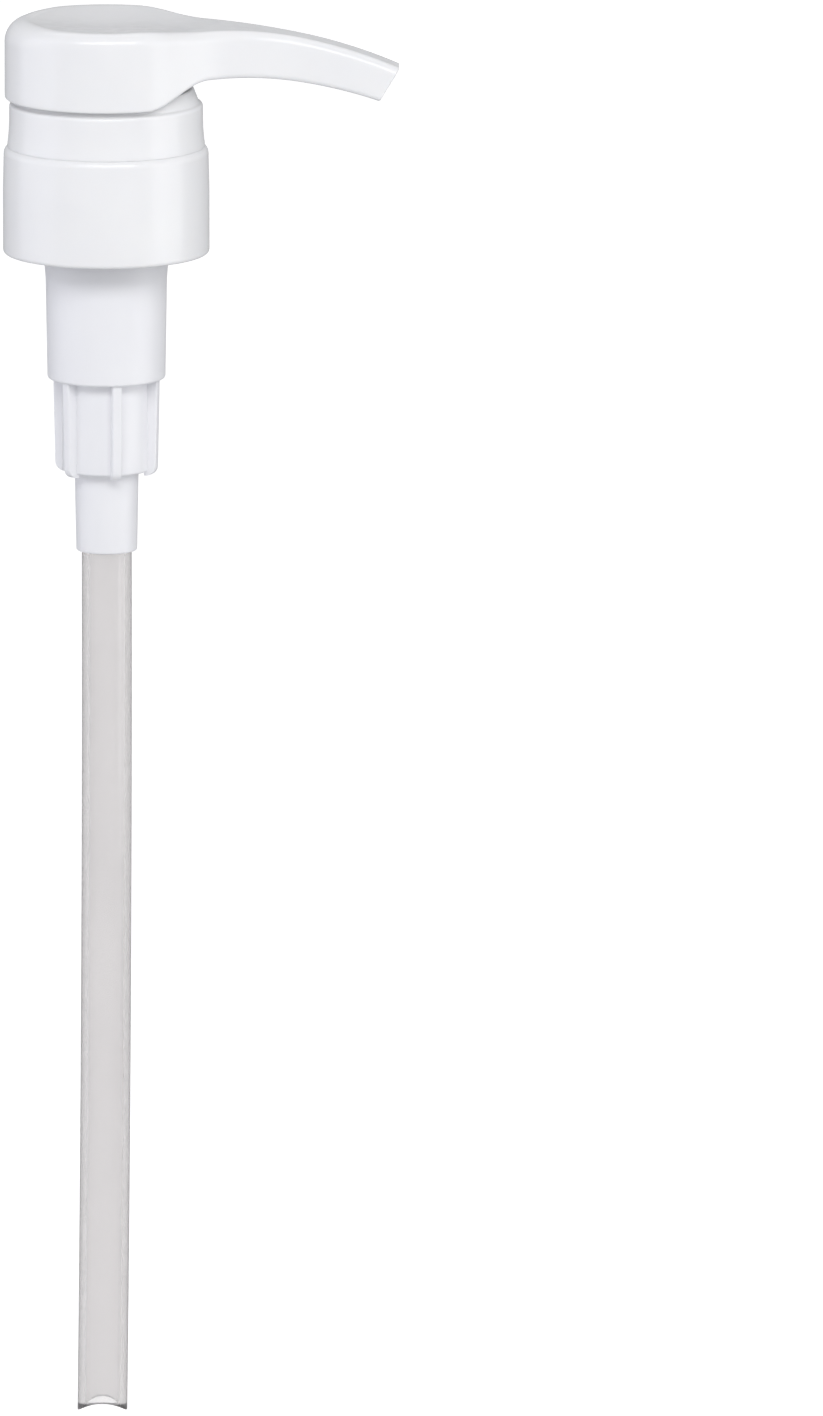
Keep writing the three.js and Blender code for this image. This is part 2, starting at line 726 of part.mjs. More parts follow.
function dipTube() {
  const outside = sweptBar(new TubeLine(TUBE_TOP, TUBE_END), TUBE_RADIUS, SMALL_FACETS, 12);
  const inside = sweptBar(new TubeLine(TUBE_TOP + 2, TUBE_END - 2), TUBE_BORE, SMALL_FACETS, 12);
  const notchRadius = (TUBE_RADIUS ** 2 + NOTCH_DEPTH ** 2) / (2 * NOTCH_DEPTH);
  const notch = new THREE.CylinderGeometry(notchRadius, notchRadius, 16, 48)
    .translate(-TUBE_BOW, 0, TUBE_END + NOTCH_DEPTH - notchRadius);
  return combine(outside, [], [inside, notch]);
}

// Assembly

const pump = new THREE.Group();

function addPiece(name, geometry, material) {
  const piece = new THREE.Mesh(geometry, material);
  piece.name = name;
  pump.add(piece);
}

addPiece('closure_cap', closureCap(), GLOSS_WHITE);
addPiece('jar_gasket', jarGasket(), FOAM_GREY);
addPiece('pump_housing', pumpHousing(), SATIN_WHITE);
addPiece('lock_collar', lockCollar(), GLOSS_WHITE);
addPiece('stem_seal', stemSeal(), NATURAL_INNER);
addPiece('actuator_head', actuatorHead(), GLOSS_WHITE);
addPiece('stem', stem(), SATIN_WHITE);
addPiece('piston', piston(), NATURAL_INNER);
addPiece('valve_rod', valveRod(), NATURAL_INNER);
addPiece('return_spring', returnSpring(), STAINLESS);
addPiece('ball_retainer', ballRetainer(), NATURAL_INNER);
addPiece('inlet_ball', inletBall(), STAINLESS);
addPiece('dip_tube', dipTube(), NATURAL_TUBE);

export default pump;
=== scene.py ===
"""Condiment pump dispenser: the finished look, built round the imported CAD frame.

Lengths in the shape code are millimetres and are turned into metres when a mesh is made. +Z is up along
the pump axis and +X points along the spout, as in the frame.
"""

import math

import bmesh
import bpy
import numpy as np
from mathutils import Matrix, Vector


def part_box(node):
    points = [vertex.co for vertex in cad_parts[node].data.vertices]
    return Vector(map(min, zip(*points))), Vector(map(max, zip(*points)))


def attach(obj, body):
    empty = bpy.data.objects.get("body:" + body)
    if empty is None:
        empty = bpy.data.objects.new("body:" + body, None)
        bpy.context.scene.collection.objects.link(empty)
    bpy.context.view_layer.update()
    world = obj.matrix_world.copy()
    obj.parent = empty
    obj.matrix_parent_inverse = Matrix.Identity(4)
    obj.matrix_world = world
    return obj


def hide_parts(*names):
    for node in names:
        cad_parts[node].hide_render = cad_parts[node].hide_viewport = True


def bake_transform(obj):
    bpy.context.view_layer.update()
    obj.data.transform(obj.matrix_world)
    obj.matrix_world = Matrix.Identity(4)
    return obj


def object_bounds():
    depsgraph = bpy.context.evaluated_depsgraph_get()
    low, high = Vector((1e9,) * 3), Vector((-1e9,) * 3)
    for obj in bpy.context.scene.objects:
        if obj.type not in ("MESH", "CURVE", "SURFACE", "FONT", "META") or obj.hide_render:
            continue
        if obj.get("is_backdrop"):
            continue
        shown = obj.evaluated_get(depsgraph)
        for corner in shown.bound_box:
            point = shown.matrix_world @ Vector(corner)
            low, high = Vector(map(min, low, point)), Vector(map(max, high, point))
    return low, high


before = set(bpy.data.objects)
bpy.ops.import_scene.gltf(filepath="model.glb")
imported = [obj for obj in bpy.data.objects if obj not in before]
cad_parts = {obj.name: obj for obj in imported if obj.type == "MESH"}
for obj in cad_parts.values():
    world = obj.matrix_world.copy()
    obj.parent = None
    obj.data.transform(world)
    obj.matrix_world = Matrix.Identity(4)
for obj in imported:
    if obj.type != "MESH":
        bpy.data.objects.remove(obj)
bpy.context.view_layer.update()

MM = 0.001
TURN = 2 * math.pi
ROUND = 144          # facets round the large turned pieces
SMALL_ROUND = 96     # facets round the small turned pieces
SUPPORT = 0.12       # distance of the support loops from each rounded edge
CREASE_ANGLE = 38    # degrees: sharper edges are shaded as creases
MERGE_DISTANCE = 0.002
SHORTEST_EDGE = 0.0005


def box_mm(node):
    """Lowest and highest corner of a CAD node, in millimetres."""
    low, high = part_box(node)
    return low / MM, high / MM


# Mesh helpers


def finish_mesh(name, vertices_mm, faces):
    """A shaded mesh object from millimetre vertices."""
    mesh = bpy.data.meshes.new(name)
    mesh.from_pydata([tuple(v) for v in np.asarray(vertices_mm) * MM], [], faces)
    work = bmesh.new()
    work.from_mesh(mesh)
    bmesh.ops.remove_doubles(work, verts=work.verts, dist=MERGE_DISTANCE * MM)
    bmesh.ops.dissolve_degenerate(work, edges=work.edges, dist=SHORTEST_EDGE * MM)
    bmesh.ops.recalc_face_normals(work, faces=work.faces)
    work.to_mesh(mesh)
    work.free()
    shade(mesh)
    piece = bpy.data.objects.new(name, mesh)
    bpy.context.scene.collection.objects.link(piece)
    return piece


def shade(mesh):
    """Smooth shading with creases at the sharp edges."""
    mesh.shade_smooth()
    mesh.set_sharp_from_angle(angle=math.radians(CREASE_ANGLE))


def skin_rings(name, rings, loop=False, caps=False):
    """A mesh over rings of equally many points. loop joins the last ring to the first."""
    count = len(rings[0])
    vertices = np.concatenate([np.asarray(ring, float) for ring in rings])
    faces = []
    last = len(rings) if loop else len(rings) - 1
    for k in range(last):
        here, there = k * count, ((k + 1) % len(rings)) * count
        for i in range(count):
            j = (i + 1) % count
            faces.append((here + i, here + j, there + j, there + i))
    if caps:
        faces.append(tuple(range(count))[::-1])
        faces.append(tuple(range((len(rings) - 1) * count, len(rings) * count)))
    return finish_mesh(name, vertices, faces)


def rounded_profile(corners, arc_steps=6):
    """Closed outline with rounded corners. A corner is (radius, height) or (radius, height, fillet)."""
    outline = []
    count = len(corners)
    for index, corner in enumerate(corners):
        here = np.array(corner[:2], float)
        fillet = corner[2] if len(corner) > 2 else 0
        before = np.array(corners[index - 1][:2], float) - here
        after = np.array(corners[(index + 1) % count][:2], float) - here
        reach_before, reach_after = np.linalg.norm(before), np.linalg.norm(after)
        if fillet <= 0 or min(reach_before, reach_after) < 1e-6:
            outline.append(here)
            continue
        before, after = before / reach_before, after / reach_after
        half = math.acos(float(np.clip(before @ after, -1, 1))) / 2
        setback = min(fillet / math.tan(half), 0.49 * reach_before, 0.49 * reach_after)
        radius = setback * math.tan(half)
        middle = (before + after) / np.linalg.norm(before + after)
        centre = here + middle * (radius / math.sin(half))
        start, end = here + before * setback - centre, here + after * setback - centre
        sweep = math.pi - 2 * half
        turn = math.copysign(sweep, start[0] * end[1] - start[1] * end[0])
        if reach_before > 2 * (setback + SUPPORT):
            outline.append(here + before * (setback + SUPPORT))
        for step in range(arc_steps + 1):
            angle = turn * step / arc_steps
            c, s = math.cos(angle), math.sin(angle)
            outline.append(centre + np.array([c * start[0] - s * start[1], s * start[0] + c * start[1]]))
        if reach_after > 2 * (setback + SUPPORT):
            outline.append(here + after * (setback + SUPPORT))
    return outline


def turned(name, corners, facets=ROUND, arc_steps=6):
    """A turned piece from the corners of its closed profile."""
    angles = TURN * np.arange(facets) / facets
    rings = []
    for radius, height in rounded_profile(corners, arc_steps):
        ring = np.empty((facets, 3))
        ring[:, 0] = radius * np.cos(angles)
        ring[:, 1] = radius * np.sin(angles)
        ring[:, 2] = height
        rings.append(ring)
    return skin_rings(name, rings, loop=True)


def swept(name, centres, radii, sides=24):
    """A closed round bar through centre points, with a radius at each."""
    centres = np.asarray(centres, float)
    radii = np.broadcast_to(radii, len(centres))
    headings = np.gradient(centres, axis=0)
    headings /= np.linalg.norm(headings, axis=1)[:, None]
    side = np.cross(headings[0], (0.0, 1.0, 0.0))
    if np.linalg.norm(side) < 0.1:
        side = np.cross(headings[0], (1.0, 0.0, 0.0))
    rings = []
    angles = TURN * np.arange(sides) / sides
    for centre, heading, radius in zip(centres, headings, radii):
        side = side - heading * (side @ heading)
        side /= np.linalg.norm(side)
        up = np.cross(heading, side)
        ring = centre + radius * (np.cos(angles)[:, None] * side + np.sin(angles)[:, None] * up)
        rings.append(ring)
    return skin_rings(name, rings, caps=True)


RIDGE_STEPS = 72     # per turn
RUN_OUT = 0.12       # part of a turn over which a thread's end fades


def helix_ridge(name, radius, start, turns, pitch, section):
    """A thread ridge. section is a list of (outward, upward) points, and both ends run out to nothing."""
    steps = int(turns * RIDGE_STEPS)
    rings = []
    for step in range(steps + 1):
        along = step / steps
        size = min(1.0, along * turns / RUN_OUT, (1 - along) * turns / RUN_OUT)
        size = max(0.03, math.sin(size * math.pi / 2))
        angle = TURN * turns * along
        ring = []
        for outward, upward in section:
            r = radius + outward * size
            z = start + turns * pitch * along + upward * (0.35 + 0.65 * size)
            ring.append((r * math.cos(angle), r * math.sin(angle), z))
        rings.append(ring)
    return skin_rings(name, rings, caps=True)


def block(name, low, high):
    """A box between two corners, used to cut or join."""
    xs, ys, zs = zip(low, high)
    corners = [(x, y, z) for x in xs for y in ys for z in zs]
    faces = [(0, 1, 3, 2), (4, 6, 7, 5), (0, 4, 5, 1), (2, 3, 7, 6), (0, 2, 6, 4), (1, 5, 7, 3)]
    return finish_mesh(name, corners, faces)


def combine(piece, operation, *tools):
    """Joins ('UNION') or cuts ('DIFFERENCE') tools into a piece, then removes the tools."""
    for tool in tools:
        modifier = piece.modifiers.new("combine", "BOOLEAN")
        modifier.operation = operation
        modifier.solver = "MANIFOLD"
        modifier.object = tool
        bpy.context.view_layer.update()
        graph = bpy.context.evaluated_depsgraph_get()
        mesh = bpy.data.meshes.new_from_object(piece.evaluated_get(graph))
        piece.modifiers.clear()
        old, piece.data = piece.data, mesh
        bpy.data.meshes.remove(old)
        bpy.data.objects.remove(tool)
    piece.data.name = piece.name
    shade(piece.data)
    return piece


# Material helpers


def new_material(name):
    """An empty node material with its Principled shader."""
    material = bpy.data.materials.new(name)
    material.use_nodes = True
    shader = material.node_tree.nodes["Principled BSDF"]
    return material, material.node_tree, shader


def object_position(tree, stretch=(1, 1, 1)):
    """Object coordinates, stretched per axis."""
    coordinates = tree.nodes.new("ShaderNodeTexCoord")
    mapping = tree.nodes.new("ShaderNodeMapping")
    mapping.inputs["Scale"].default_value = stretch
    tree.links.new(coordinates.outputs["Object"], mapping.inputs["Vector"])
    return mapping.outputs["Vector"]


def noise(tree, position, scale, detail=3, roughness=0.5):
    """Noise with a scale in cells per metre."""
    node = tree.nodes.new("ShaderNodeTexNoise")
    node.inputs["Scale"].default_value = scale
    node.inputs["Detail"].default_value = detail
    node.inputs["Roughness"].default_value = roughness
    tree.links.new(position, node.inputs["Vector"])
    return node.outputs["Fac"]


NOISE_LOW = 0.3      # noise that spread() turns into its low
NOISE_HIGH = 0.7     # and into its high


def spread(tree, value, low, high):
    """Noise from NOISE_LOW to NOISE_HIGH spread over low to high."""
    node = tree.nodes.new("ShaderNodeMapRange")
    node.inputs["From Min"].default_value = NOISE_LOW
    node.inputs["From Max"].default_value = NOISE_HIGH
    node.inputs["To Min"].default_value = low
    node.inputs["To Max"].default_value = high
    tree.links.new(value, node.inputs["Value"])
    return node.outputs["Result"]


def blend_colours(tree, value, first, second):
    """A colour between two, by a value from 0 to 1."""
    node = tree.nodes.new("ShaderNodeMix")
    node.data_type = "RGBA"
    node.inputs["A"].default_value = (*first, 1)
    node.inputs["B"].default_value = (*second, 1)
    tree.links.new(value, node.inputs["Factor"])
    return node.outputs["Result"]


def bump(tree, shader, height, depth_mm, below=None):
    """Surface relief of a real depth, on top of any relief below it."""
    node = tree.nodes.new("ShaderNodeBump")
    node.inputs["Strength"].default_value = 1.0
    node.inputs["Distance"].default_value = depth_mm * MM
    tree.links.new(height, node.inputs["Height"])
    if below is not None:
        tree.links.new(below, node.inputs["Normal"])
    tree.links.new(node.outputs["Normal"], shader.inputs["Normal"])
    return node.outputs["Normal"]


def moulded_plastic(name, light, shade_colour, gloss, translucency):
    """Injection-moulded plastic: faint flow mottling, uneven gloss and a very fine moulded skin."""
    material, tree, shader = new_material(name)
    position = object_position(tree)
    mottling = spread(tree, noise(tree, position, 70, detail=2), 0, 1)
    colour = blend_colours(tree, mottling, light, shade_colour)
    tree.links.new(colour, shader.inputs["Base Color"])
    wear = noise(tree, position, 320, detail=4, roughness=0.6)
    tree.links.new(spread(tree, wear, gloss[0], gloss[1]), shader.inputs["Roughness"])
    shader.inputs["IOR"].default_value = 1.49
    shader.inputs["Subsurface Weight"].default_value = translucency
    shader.inputs["Subsurface Radius"].default_value = (1.0, 0.95, 0.9)
    shader.inputs["Subsurface Scale"].default_value = 0.6 * MM
    waviness = bump(tree, shader, noise(tree, position, 140, detail=1), 0.012)
    bump(tree, shader, noise(tree, position, 2600, detail=2), 0.0012, below=waviness)
    return material


def tube_plastic(name):
    """Cloudy extruded polyethylene with faint draw lines along its length."""
    material, tree, shader = new_material(name)
    streaks = noise(tree, object_position(tree, (1, 1, 0.003)), 600, detail=2)
    cloud = noise(tree, object_position(tree, (1, 1, 0.25)), 120, detail=2)
    cloudiness = spread(tree, cloud, 0, 1)
    colour = blend_colours(tree, cloudiness, (0.98, 0.97, 0.97), (0.95, 0.94, 0.94))
    tree.links.new(colour, shader.inputs["Base Color"])
    tree.links.new(spread(tree, streaks, 0.10, 0.15), shader.inputs["Roughness"])
    shader.inputs["IOR"].default_value = 1.51
    shader.inputs["Transmission Weight"].default_value = 0.9
    bump(tree, shader, streaks, 0.0005)
    absorption = tree.nodes.new("ShaderNodeVolumeAbsorption")
    absorption.inputs["Color"].default_value = (0.80, 0.79, 0.79, 1)
    absorption.inputs["Density"].default_value = 450
    tree.links.new(absorption.outputs["Volume"], tree.nodes["Material Output"].inputs["Volume"])
    return material


def steel(name, stretch):
    """Stainless steel with fine drawing or polishing lines."""
    material, tree, shader = new_material(name)
    lines = noise(tree, object_position(tree, stretch), 4000, detail=2)
    shader.inputs["Metallic"].default_value = 1.0
    colour = blend_colours(tree, lines, (0.60, 0.60, 0.61), (0.50, 0.51, 0.53))
    tree.links.new(colour, shader.inputs["Base Color"])
    tree.links.new(spread(tree, lines, 0.2, 0.34), shader.inputs["Roughness"])
    bump(tree, shader, lines, 0.001)
    return material


def gasket_foam(name):
    """Closed-cell foam: small pores in a matt skin."""
    material, tree, shader = new_material(name)
    position = object_position(tree)
    pores = tree.nodes.new("ShaderNodeTexVoronoi")
    pores.inputs["Scale"].default_value = 2600
    tree.links.new(position, pores.inputs["Vector"])
    colour = blend_colours(tree, pores.outputs["Distance"], (0.50, 0.50, 0.47), (0.66, 0.66, 0.63))
    tree.links.new(colour, shader.inputs["Base Color"])
    shader.inputs["Roughness"].default_value = 0.85
    bump(tree, shader, pores.outputs["Distance"], 0.08)
    return material


GLOSS_WHITE = moulded_plastic(
    "gloss_white_plastic", (0.87, 0.87, 0.88), (0.85, 0.85, 0.865), (0.17, 0.23), 0.25)
SATIN_WHITE = moulded_plastic(
    "satin_white_plastic", (0.85, 0.85, 0.875), (0.83, 0.83, 0.86), (0.3, 0.4), 0.1)
NATURAL = moulded_plastic(
    "natural_plastic", (0.74, 0.73, 0.69), (0.70, 0.69, 0.65), (0.34, 0.44), 0.5)
TUBE = tube_plastic("tube_plastic")
WIRE = steel("spring_wire", (1, 1, 6))
BALL = steel("polished_ball", (1, 1, 1))
FOAM = gasket_foam("gasket_foam")


def fit(piece, node, body, material):
    """The piece stands for a CAD node, rides its body and takes its finish."""
    piece.data.materials.clear()
    piece.data.materials.append(material)
    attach(piece, body)
    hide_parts(node)
    return piece


# Actuator head

head_low, head_high = box_mm("actuator_head")
HEAD_RADIUS = -head_low.x
HEAD_TOP = head_high.z
BOSS_BOTTOM = head_low.z
SPOUT_TIP = head_high.x
SKIRT_BOTTOM = HEAD_TOP - 16.3
CEILING = HEAD_TOP - 3.7
SKIRT_MOUTH = 19.9           # radius of the hollow just below the skirt
SKIRT_BORE = 19.35           # just above the skirt's lower edge
CEILING_BORE = 19.1          # and at the ceiling
DISH_DEPTH = 1.5
DISH_MIDDLE = 1.0
DISH_HALF_LENGTH = 19.0
DISH_HALF_WIDTH = 17.5
DISH_POWER = 1.3
RIM_DROP = 0.25              # how far the top has fallen at the disc's edge on the -Y and +Y sides
UPPER_EDGE = 2.5
UPPER_EDGE_GAIN = 2.1        # more at the disc's end away from the spout
UPPER_EDGE_LOSS = 0.7        # less along the spout
LOWER_EDGE = 0.5
LOWER_EDGE_GAIN = 0.6        # more along the spout
SPOUT_HALF_WIDTH = 4.7
SPOUT_TIP_HALF_WIDTH = 4.4
SPOUT_FILLET = 40.0
SHOULDER_DROP = 1.35
SPOUT_TOP_START = 19.0
SPOUT_TOP_RADIUS = 102.0
SPOUT_UNDER_START = 24.0
SPOUT_UNDER_RADIUS = 97.0
SPOUT_UNDER = HEAD_TOP - 11.3
TIP_LEAN = math.tan(math.radians(31))
LEAN_START = SPOUT_TIP - 14
LIP_RADIUS = 0.35
SPOUT_BORE = 2.4
DUCT_WALL_HALF = 4.1
DUCT_DEPTH = 6.0             # of the duct's start, below the top
BOSS_RADIUS = 7.3
BOSS_RIDGE_ROOT = 7.2
STEM_SOCKET_RADIUS = 5.75
PASSAGE_RADIUS = 3.6
PASSAGE_BOTTOM = 20.0
PASSAGE_TOP = 27.4
THREAD_START = 11.5
LOCK_PITCH = 3.2
LOCK_TURNS = 1.25


def smooth_step(x, start, end):
    """0 up to start, 1 from end on, with a smooth rise between them."""
    t = np.clip((np.asarray(x, float) - start) / (end - start), 0, 1)
    return t * t * (3 - 2 * t)


def head_top(x):
    """Height of the head's top on its middle line, without the dish."""
    run = np.maximum(0, np.asarray(x, float) - SPOUT_TOP_START)
    droop = SPOUT_TOP_RADIUS - np.sqrt(SPOUT_TOP_RADIUS**2 - run**2)
    return HEAD_TOP - SHOULDER_DROP * smooth_step(x, 6, 20) - droop


def head_under(x):
    """Height of the head's lower edge: level skirt, sweep up past the collar, drooping spout."""
    run = np.maximum(0, np.asarray(x, float) - SPOUT_UNDER_START)
    droop = SPOUT_UNDER_RADIUS - np.sqrt(SPOUT_UNDER_RADIUS**2 - run**2)
    return SKIRT_BOTTOM + (SPOUT_UNDER - SKIRT_BOTTOM) * smooth_step(x, 8.5, 21) - droop


def crowned(x, y):
    """Height of the head's top, which falls away from the middle line, without the dish."""
    return head_top(x) - RIM_DROP * (np.asarray(y) / HEAD_RADIUS) ** 2


def dish(x, y):
    """Depth of the thumb dish."""
    along, across = (np.asarray(x) - DISH_MIDDLE) / DISH_HALF_LENGTH, np.asarray(y) / DISH_HALF_WIDTH
    return DISH_DEPTH * np.clip(1 - np.hypot(along, across)**2, 0, 1) ** DISH_POWER


def upper_edge_radius(x):
    """Radius of the rounded upper edge, largest at the end away from the spout."""
    gain = UPPER_EDGE_GAIN * (1 - smooth_step(x, -20, -9))
    return UPPER_EDGE + gain - UPPER_EDGE_LOSS * smooth_step(x, 8, 32)


def lower_edge_radius(x):
    """Radius of the rounded lower edge."""
    return LOWER_EDGE + LOWER_EDGE_GAIN * smooth_step(x, 14, 26)


def leaned(x, z):
    """x drawn back near the spout's end, so that the end leans back below its upper lip."""
    end = SPOUT_TIP - (head_top(SPOUT_TIP) - z) * TIP_LEAN
    run = (x - LEAN_START) / (SPOUT_TIP - LEAN_START)
    return np.where(x > LEAN_START, LEAN_START + run * (end - LEAN_START), x)


def head_outline():
    """Half outline from above, from the end away from the spout to the spout's end.

    Each row holds a point, its inward heading, its place on the middle line and how far the lip draws in.
    """
    rise = SPOUT_HALF_WIDTH + SPOUT_FILLET
    fillet_x = math.sqrt((HEAD_RADIUS + SPOUT_FILLET) ** 2 - rise**2)
    join = math.atan2(rise, fillet_x)
    rows = []
    for angle in np.linspace(math.pi, join, 72):
        c, s = math.cos(angle), math.sin(angle)
        rows.append((HEAD_RADIUS * c, HEAD_RADIUS * s, -c, -s, 0, 0))
    for angle in np.linspace(join, math.pi / 2, 40)[1:]:
        c, s = math.cos(angle), math.sin(angle)
        x, y = fillet_x - SPOUT_FILLET * c, rise - SPOUT_FILLET * s
        rows.append((x, y, -c, -s, x - c * y / s, 0))
    stations = [(x, 0) for x in np.linspace(fillet_x, SPOUT_TIP - 2 * LIP_RADIUS, 24)[1:]]
    for angle in np.radians([0, 22.5, 45, 67.5, 90]):
        short_of_tip = LIP_RADIUS * (1 - math.sin(angle))
        stations.append((SPOUT_TIP - short_of_tip, LIP_RADIUS * (1 - math.cos(angle))))
    for x, lip in stations:
        along = (x - fillet_x) / (SPOUT_TIP - fillet_x)
        y = SPOUT_HALF_WIDTH + (SPOUT_TIP_HALF_WIDTH - SPOUT_HALF_WIDTH) * along
        rows.append((x, y, 0, -1, x, lip))
    return np.array(rows)


def head_rings():
    """Rings of the head's skin from the middle of the underside, up the wall, to the middle of the top."""
    half = head_outline()
    other = half[:0:-1] * np.array((1, -1, 1, -1, 1, 1))
    outline = np.concatenate([half, other])
    points, inward, middle_x, lip = outline[:, :2], outline[:, 2:4], outline[:, 4], outline[:, 5]
    middle = np.column_stack([middle_x, np.zeros(len(outline))])
    rings = []

    def add(inset, share, height):
        """inset in from the outline, then share of the way on to the middle line."""
        edge = points + inward * np.asarray(inset)[:, None]
        at = edge + (middle - edge) * share
        x = at[:, 0]
        for _ in range(6):
            x = leaned(at[:, 0], height(x, at[:, 1]))
        z = height(x, at[:, 1])
        centre = (head_top(x) + head_under(x)) / 2
        z = centre + (z - centre) * (1 - lip / (head_top(x) - centre))
        y = at[:, 1] * (1 - lip / SPOUT_TIP_HALF_WIDTH)
        rings.append(np.column_stack([leaned(at[:, 0], z), y, z]))

    flat = points[:, 0]
    low, top = lower_edge_radius(flat), upper_edge_radius(flat)
    for share in (1, 0.75, 0.5, 0.25, 0.06, 0):
        add(low, share, lambda x, y: head_under(x))
    for angle in np.radians([67.5, 45, 22.5, 0]):
        lift = low * (1 - math.sin(angle))
        add(low * (1 - math.cos(angle)), 0, lambda x, y: head_under(x) + lift)
    for share in (0.04, 0.2, 0.4, 0.6, 0.8, 0.96):
        add(0 * flat, 0, lambda x, y: (head_under(x) + low) * (1 - share) + (crowned(x, y) - top) * share)
    for angle in np.radians(np.linspace(0, 90, 11)):
        drop = top * (1 - math.sin(angle))
        add(top * (1 - math.cos(angle)), 0, lambda x, y: crowned(x, y) - drop)
    for share in np.linspace(0, 1, 25)[1:]:
        add(top, share, lambda x, y: crowned(x, y) - dish(x, y))
    return rings, len(half)


def head_blank():
    """Outer skin of the head as one closed body."""
    rings, half = head_rings()
    count = len(rings[0])
    faces = []
    for k in range(len(rings) - 1):
        for i in range(count):
            if i == half - 1:
                continue  # the spout's flat end, closed below by one face
            j = (i + 1) % count
            faces.append((k * count + i, k * count + j, (k + 1) * count + j, (k + 1) * count + i))
    side = [k * count + half - 1 for k in range(len(rings))]
    other_side = [k * count + half for k in range(1, len(rings) - 1)]
    faces.append(tuple(side + other_side[::-1]))
    return finish_mesh("actuator_head_piece", np.concatenate(rings), faces)


def duct_route():
    """Middle line of the outlet duct."""
    level = head_top(0) - DUCT_DEPTH
    route = [(-0.5, 0, level)]
    for x in np.linspace(2, SPOUT_TIP + 2, 30):
        middle = (head_top(x) + head_under(x)) / 2
        route.append((x, 0, level + (middle - level) * smooth_step(x, 8, 26)))
    return route


def actuator_head():
    """Hollow disc and spout, with the threaded boss, the stem's socket and the outlet duct."""
    head = head_blank()
    hollow = turned("hollow", [
        (0, SKIRT_BOTTOM - 6),
        (SKIRT_MOUTH, SKIRT_BOTTOM - 6),
        (SKIRT_MOUTH, SKIRT_BOTTOM - 0.2),
        (SKIRT_BORE, SKIRT_BOTTOM + 0.5),
        (CEILING_BORE, CEILING, 1.6),
        (0, CEILING),
    ])
    duct_wall = block("duct_wall", (0, -DUCT_WALL_HALF, SPOUT_UNDER + 0.1),
                      (HEAD_RADIUS + 4, DUCT_WALL_HALF, CEILING + 1))
    combine(hollow, "DIFFERENCE", duct_wall)
    combine(head, "DIFFERENCE", hollow)
    boss = turned("boss", [
        (0, BOSS_BOTTOM),
        (BOSS_RADIUS, BOSS_BOTTOM, 0.4),
        (BOSS_RADIUS, CEILING + 0.6),
        (0, CEILING + 0.6),
    ], SMALL_ROUND)
    ridge = helix_ridge("ridge", BOSS_RIDGE_ROOT, THREAD_START - 1.6, LOCK_TURNS, LOCK_PITCH,
                        [(0, -0.7), (0.6, -0.2), (0.6, 0.2), (0, 0.7), (-0.4, 0.7), (-0.4, -0.7)])
    combine(head, "UNION", boss, ridge)
    stem_top = box_mm("stem")[1].z + 0.25
    socket = turned("socket", [
        (0, BOSS_BOTTOM - 1),
        (STEM_SOCKET_RADIUS, BOSS_BOTTOM - 1),
        (STEM_SOCKET_RADIUS, stem_top),
        (0, stem_top),
    ], SMALL_ROUND)
    passage = turned("passage", [
        (0, PASSAGE_BOTTOM),
        (PASSAGE_RADIUS, PASSAGE_BOTTOM),
        (PASSAGE_RADIUS, PASSAGE_TOP),
        (0, PASSAGE_TOP),
    ], SMALL_ROUND)
    route = duct_route()
    bore = [SPOUT_BORE] * (len(route) - 2) + [SPOUT_BORE + 0.25, SPOUT_BORE + 0.5]
    duct = swept("duct", route, bore, 48)
    combine(head, "DIFFERENCE", socket, passage, duct)
    return head


fit(actuator_head(), "actuator_head", "head", GLOSS_WHITE)

# Closure cap

cap_low, cap_high = box_mm("closure_cap")
CAP_RADIUS = cap_high.x
CAP_BOTTOM = cap_low.z
CAP_TOP = cap_high.z
CAP_TOP_RADIUS = 20.8
CAP_SHOULDER = 1.8
CAP_OPENING = 14.4           # hole round the housing's neck
CAP_CEILING = 3.6
CAP_CEILING_RADIUS = 17.4
THREAD_ROOT = CAP_RADIUS - 1.95
JAR_PITCH = 4.23
JAR_TURNS = 1.5


def closure_cap():
    """Smooth screw closure with the jar thread inside."""
    cap = turned("closure_cap_piece", [
        (THREAD_ROOT + 0.4, CAP_BOTTOM, 0.3),
        (CAP_RADIUS, CAP_BOTTOM, 1.3),
        (CAP_RADIUS, -2, 20),
        (CAP_TOP_RADIUS, CAP_TOP, CAP_SHOULDER),
        (CAP_OPENING, CAP_TOP, 0.2),
        (CAP_OPENING, CAP_CEILING, 0.2),
        (CAP_CEILING_RADIUS, CAP_CEILING, 0.2),
        (THREAD_ROOT, 1.8, 0.5),
        (THREAD_ROOT, CAP_BOTTOM + 1, 0.5),
    ])
    ridge = helix_ridge("ridge", THREAD_ROOT + 0.1, -11.5, JAR_TURNS, JAR_PITCH,
                        [(0.3, 1.1), (0, 1.1), (-1.15, 0.35), (-1.15, -0.35), (0, -1.1), (0.3, -1.1)])
    return combine(cap, "UNION", ridge)


fit(closure_cap(), "closure_cap", "closure", GLOSS_WHITE)

# Lock collar

collar_low, collar_high = box_mm("lock_collar")
COLLAR_RADIUS = collar_high.x
COLLAR_TOP = collar_high.z
COLLAR_BOTTOM = CAP_TOP + 0.3        # foot of the inner wall
COLLAR_SEAM = CAP_TOP + 0.08         # lower edge of the outer wall, just clear of the closure
COLLAR_WAIST = 12.5
COLLAR_FLARE = 0.38
COLLAR_CEILING = 13.8
GRIP_WALL_RADIUS = 16.3              # outside of the inner wall, which grips the neck
OUTER_WALL_BORE = 17.9               # inside of the outer wall at the ceiling
SLEEVE_BOTTOM = collar_low.z
housing_low, housing_high = box_mm("pump_housing")
NECK_TOP = housing_high.z
NECK_RADIUS = 13.9
SLEEVE_BORE = 8.9
SLEEVE_RADIUS = 10.1
SEAL_SEAT_TOP = 8.2
SEAL_SEAT_BOTTOM = 7.0
SEAL_SEAT_BORE = 5.9
SEAL_POCKET_RADIUS = 9.0
SEAL_POCKET_BOTTOM = 4.7


